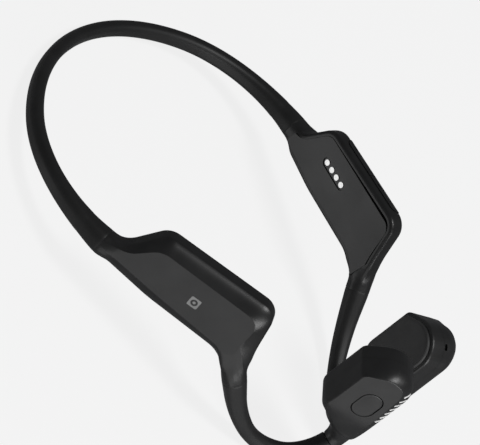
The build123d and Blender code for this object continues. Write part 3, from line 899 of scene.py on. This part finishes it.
def blended_pod():
    """The pod's body and neck as one skin, eased where they meet."""
    body = scratch(lofted("pod", pod_rings()))
    neck, start, ahead = neck_mesh()
    combined(body, neck, "UNION")
    remesh = body.modifiers.new("remesh", "REMESH")
    remesh.mode = "VOXEL"
    remesh.voxel_size = VOXEL
    applied(body)
    points = np.array([v.co for v in body.data.vertices])
    points[:, 2] = fallen(points)
    body.data.vertices.foreach_set("co", points.ravel())
    join = smoothstep((-1.0 - points[:, 0]) / 6.0) * smoothstep((points[:, 1] + 2.5) / 4.0)
    softened(body, np.ones(len(points)), ALL_ROUNDS)
    softened(body, join, JOIN_ROUNDS)
    return body, start, ahead


BUTTON = (3.8, 3.7)
BUTTON_SIZE = (8.6, 6.2)
BUTTON_GAP = 0.2
BUTTON_DEPTH = 1.8
BUTTON_TRAVEL_ROOM = 0.6
BUTTON_CORNER = 0.92         # corner radius as a share of half the button's height
BUTTON_EDGE, BUTTON_FACE, BUTTON_DISH = 0.25, -0.02, 0.08
MIC_ANGLE, MIC_HEIGHT, MIC_PORT, MIC_DEPTH = 28.0, -5.9, (1.9, 0.9), 1.2


def slot_outline(size, grow=0.0, steps=10, round_share=1.0):
    """A rectangle with round corners, or a slot or a circle when round_share is 1."""
    width, height = size[0] + 2 * grow, size[1] + 2 * grow
    radius = height / 2 * round_share
    corners = [(-width / 2, -height / 2, radius), (width / 2, -height / 2, radius),
               (width / 2, height / 2, radius), (-width / 2, height / 2, radius)]
    return outline(corners, 0.0, None, steps)


def mic_frame():
    """The microphone slot's frame, on the rounded corner of the tip."""
    out = np.array([cos(radians(MIC_ANGLE)), sin(radians(MIC_ANGLE)), 0])
    radius = POD_SHAPE[3][2]
    centre = np.array([POD_TIP - radius, POD_FRONT - radius, MIC_HEIGHT])
    long_way = np.cross(out, (0, 0, 1.0))
    return matrix_of(centre + out * radius, long_way, np.cross(out, long_way), out)


def pods():
    """Each pod's outer shell and inner part, cut from one blended shape."""
    pod, start, ahead = blended_pod()
    bm = bmesh.new()
    bm.from_mesh(pod.data)
    cut_end(bm, start, ahead)
    bm.to_mesh(pod.data)
    bm.free()
    for side in ("left", "right"):
        shell = scratch(pod.data.copy())
        combined(shell, block((BASE_REAR - BASE_GAP, -10, -20), (FAR, FAR, POD_SPLIT - SPLIT_GAP)))
        combined(shell, block((-FAR, -FAR, -FAR), (FAR, FAR, POD_BASE + 0.02)))
        if side == "left":
            points = slot_outline(BUTTON_SIZE, BUTTON_GAP, 10, BUTTON_CORNER) + np.array(BUTTON)
            combined(shell, prism(points, -BUTTON_DEPTH - BUTTON_TRAVEL_ROOM, 2))
        else:
            points = slot_outline(MIC_PORT)
            combined(shell, prism(points, -MIC_DEPTH, 2, mic_frame()))
        finished(shell, side + "_pod_body", POD, side == "left", MATERIALS["pod_plastic"],
                 [side + "_pod_shell"], sharp=50)
        base = scratch(pod.data.copy())
        combined(base, block((BASE_REAR, -10, -20), (FAR, FAR, POD_SPLIT)), "INTERSECT")
        finished(base, side + "_pod_inner_body", POD, side == "left", MATERIALS["pod_plastic"],
                 [side + "_pod_base"], sharp=50)
    bpy.data.objects.remove(pod)


PAD_INSET, PAD_TOP, PAD_ROUND, PAD_CROWN = 0.95, -12.35, 0.7, 0.2


def contact_pads():
    """Soft pads with a rounded rim and a slight crown."""
    wall = [c[:3] for c in POD_SHAPE]
    counts = edge_counts(wall, 1.0)
    rings = [at_height(outline(wall, PAD_INSET, counts), POD_BASE + 0.01)]
    for k in range(7):
        angle = k / 6 * pi / 2
        inset = PAD_INSET + PAD_ROUND * (1 - cos(angle))
        rings.append(at_height(outline(wall, inset, counts),
                               PAD_TOP + PAD_CROWN + PAD_ROUND * (1 - sin(angle))))
    rim = rings[-1]
    middle = rim.mean(axis=0)
    for k in range(1, 12):
        share = 1 - k / 12
        ring = middle + (rim - middle) * share
        ring[:, 2] = PAD_TOP + PAD_CROWN * share**2
        rings.append(ring)
    for side in ("left", "right"):
        pad = finished(scratch(lofted("pad", rings)), side + "_cheek_pad", POD, side == "left",
                       MATERIALS["soft_pad_silicone"], [side + "_contact_pad"],
                       sharp=40)


def pod_button():
    """The multifunction button: a slightly dished cap."""
    base = np.array(BUTTON)
    rings = [at_height(slot_outline(BUTTON_SIZE, 0.0, 10, BUTTON_CORNER) + base, -BUTTON_DEPTH + 0.05)]
    for k in range(5):
        angle = k / 4 * pi / 2
        points = slot_outline(BUTTON_SIZE, -BUTTON_EDGE * (1 - cos(angle)), 10, BUTTON_CORNER) + base
        rings.append(at_height(points, BUTTON_FACE - BUTTON_EDGE * (1 - sin(angle))))
    rim = rings[-1]
    middle = np.array([*BUTTON, 0])
    for k in range(1, 9):
        share = 1 - k / 9
        ring = middle + (rim - middle) * share
        ring[:, 2] = BUTTON_FACE - BUTTON_DISH * (1 - share**2)
        rings.append(ring)
    finished(scratch(lofted("button", rings)), "multifunction_button_cap", POD, True,
             MATERIALS["pod_plastic"], ["multifunction_button"],
             body="multifunction_key", sharp=40)


# ---- printed marks: a plain tile with a ring on the left case, and bars along the left pod's front ----
MARK_PLACE, MARK_SIZE, MARK_PROUD = (25.4, 9.2), 2.9, 0.03
MARK_WINDOW, MARK_DOT = 1.9, 0.8


def case_mark():
    """A square tile with a round window and a dot in it."""
    tile = scratch(prism(slot_outline((MARK_SIZE, MARK_SIZE), 0, 6, 0.25), 0, MARK_PROUD))
    combined(tile, prism(slot_outline((MARK_WINDOW, MARK_WINDOW), 0, 12), -1, 1))
    combined(tile, prism(slot_outline((MARK_DOT, MARK_DOT), 0, 12), 0, MARK_PROUD), "UNION")
    along = (cos(EDGE_ANGLE), sin(EDGE_ANGLE), 0)
    across = (-sin(EDGE_ANGLE), cos(EDGE_ANGLE), 0)
    lean = matrix_of((*MARK_PLACE, CASE_HALF - 0.005), along, across, (0, 0, 1))
    tile.data.transform(Matrix(lean.tolist()))
    finished(tile, "left_case_mark", CASE, True, MATERIALS["mark_print"])


BAR_COUNT, BAR_START, BAR_STEP, BAR_LENGTH, BAR_WIDTH = 7, 1.0, 1.9, 1.9, 0.5
BAR_SLANT, BAR_PROUD = 0.3, 0.06


def joined(meshes):
    """Several meshes as one, for a single cutter."""
    bm = bmesh.new()
    for mesh in meshes:
        bm.from_mesh(mesh)
    found = bpy.data.meshes.new("joined")
    bm.to_mesh(found)
    bm.free()
    return found


def front_bars():
    """A row of short slanted bars that follow the bend of the left pod's front."""
    out = unit((0, 0.62, 0.78))
    along = np.array([1.0, 0, 0])
    face = matrix_of((0, POD_FRONT - 2.1, -0.9), along, np.cross(out, along), out)
    bars = []
    for k in range(BAR_COUNT):
        x = BAR_START + BAR_STEP * k
        shape = bar((x - BAR_SLANT, -BAR_LENGTH / 2), (x + BAR_SLANT, BAR_LENGTH / 2), BAR_WIDTH)
        bars.append(prism(shape, -1.0, 3, face))
    row = scratch(lofted("skin", pod_rings(BAR_PROUD)))
    combined(row, joined(bars), "INTERSECT")
    finished(row, "left_pod_bars", POD, True, MATERIALS["bar_print"], sharp=40)


pods()
contact_pads()
pod_button()
case_mark()
front_bars()

# ---- camera, floor and lights ----
VIEW_AZIMUTH, VIEW_ELEVATION, VIEW_ROLL = -91.380, 33.315, 60.431
VIEW_TARGET = Vector((0.00573, -0.00125, 0.01316))
VIEW_DISTANCE, VIEW_LENS = 0.79987, 228.48


def make_camera():
    a, e, r = radians(VIEW_AZIMUTH), radians(VIEW_ELEVATION), radians(VIEW_ROLL)
    back = Vector((sin(a) * cos(e), -cos(a) * cos(e), sin(e)))
    level = Vector((cos(a), sin(a), 0))
    above = back.cross(level)
    right = level * cos(r) + above * sin(r)
    up = above * cos(r) - level * sin(r)
    data = bpy.data.cameras.new("camera")
    data.lens = VIEW_LENS
    data.sensor_width = 36.0
    data.clip_start, data.clip_end = 0.01, 20
    camera = bpy.data.objects.new("camera", data)
    camera.matrix_world = Matrix((right, up, back)).transposed().to_4x4()
    camera.location = VIEW_TARGET + back * VIEW_DISTANCE
    bpy.context.scene.collection.objects.link(camera)
    bpy.context.scene.camera = camera
    return right, up, back


FLOOR_HALF, FLOOR_DROP = 4.0, 0.0002
FLOOR_GLOW = 0.835
WORLD_LIGHT = 0.1
OVERHEAD_PLACE = (0.82, 0.15, 0.55)   # to the camera's right, up, and towards it
OVERHEAD_SIZE, OVERHEAD_POWER = (0.26, 0.36), 4.6
LIGHTS = [                   # name, offset from the object's middle, size, power
    ("key", (-0.45, -0.93, 0.2), (0.6, 0.34), 4.6),
    ("floor_bounce_front", (-0.57, -0.66, -0.42), (0.9, 0.7), 1.75),
    ("floor_bounce_rear", (-0.5, 0.43, -0.64), (0.5, 0.5), 0.75),
]


def make_floor():
    """A pale floor. It is hidden from reflections, where the two bounce lights below it take its place."""
    mesh = bpy.data.meshes.new("floor")
    half = FLOOR_HALF
    corners = [(-half, -half, 0), (half, -half, 0), (half, half, 0), (-half, half, 0)]
    mesh.from_pydata(corners, [], [(0, 1, 2, 3)])
    floor = bpy.data.objects.new("floor", mesh)
    bpy.context.scene.collection.objects.link(floor)
    floor.location.z = cad_box[0].z - FLOOR_DROP
    material, _, shader = new_material("floor_paint", (0.1, 0.1, 0.1), 0.9, 0.1)
    shader.inputs["Emission Color"].default_value = (1, 1, 1, 1)
    shader.inputs["Emission Strength"].default_value = FLOOR_GLOW
    mesh.materials.append(material)
    floor.visible_glossy = False
    floor.visible_shadow = False


def area_light(name, offset, size, power):
    """A soft light at an offset from the object's middle, pointing at it."""
    middle = (cad_box[0] + cad_box[1]) / 2
    data = bpy.data.lights.new(name, "AREA")
    data.shape = "RECTANGLE"
    data.size, data.size_y = size
    data.energy = power
    light = bpy.data.objects.new(name, data)
    light.location = middle + Vector(offset)
    light.rotation_mode = "QUATERNION"
    light.rotation_quaternion = (-Vector(offset)).to_track_quat("-Z", "Y")
    bpy.context.scene.collection.objects.link(light)


def make_light(right, up, back):
    across, above, nearer = OVERHEAD_PLACE
    offset = right * across + up * above + back * nearer
    area_light("overhead", offset, OVERHEAD_SIZE, OVERHEAD_POWER)
    for name, offset, size, power in LIGHTS:
        area_light(name, offset, size, power)
    world = bpy.data.worlds.new("studio")
    world.use_nodes = True
    background = world.node_tree.nodes["Background"]
    background.inputs["Color"].default_value = (0.95, 0.97, 1.0, 1)
    background.inputs["Strength"].default_value = WORLD_LIGHT
    bpy.context.scene.world = world
    bpy.context.scene.view_settings.view_transform = "Standard"


make_floor()
make_light(*make_camera())
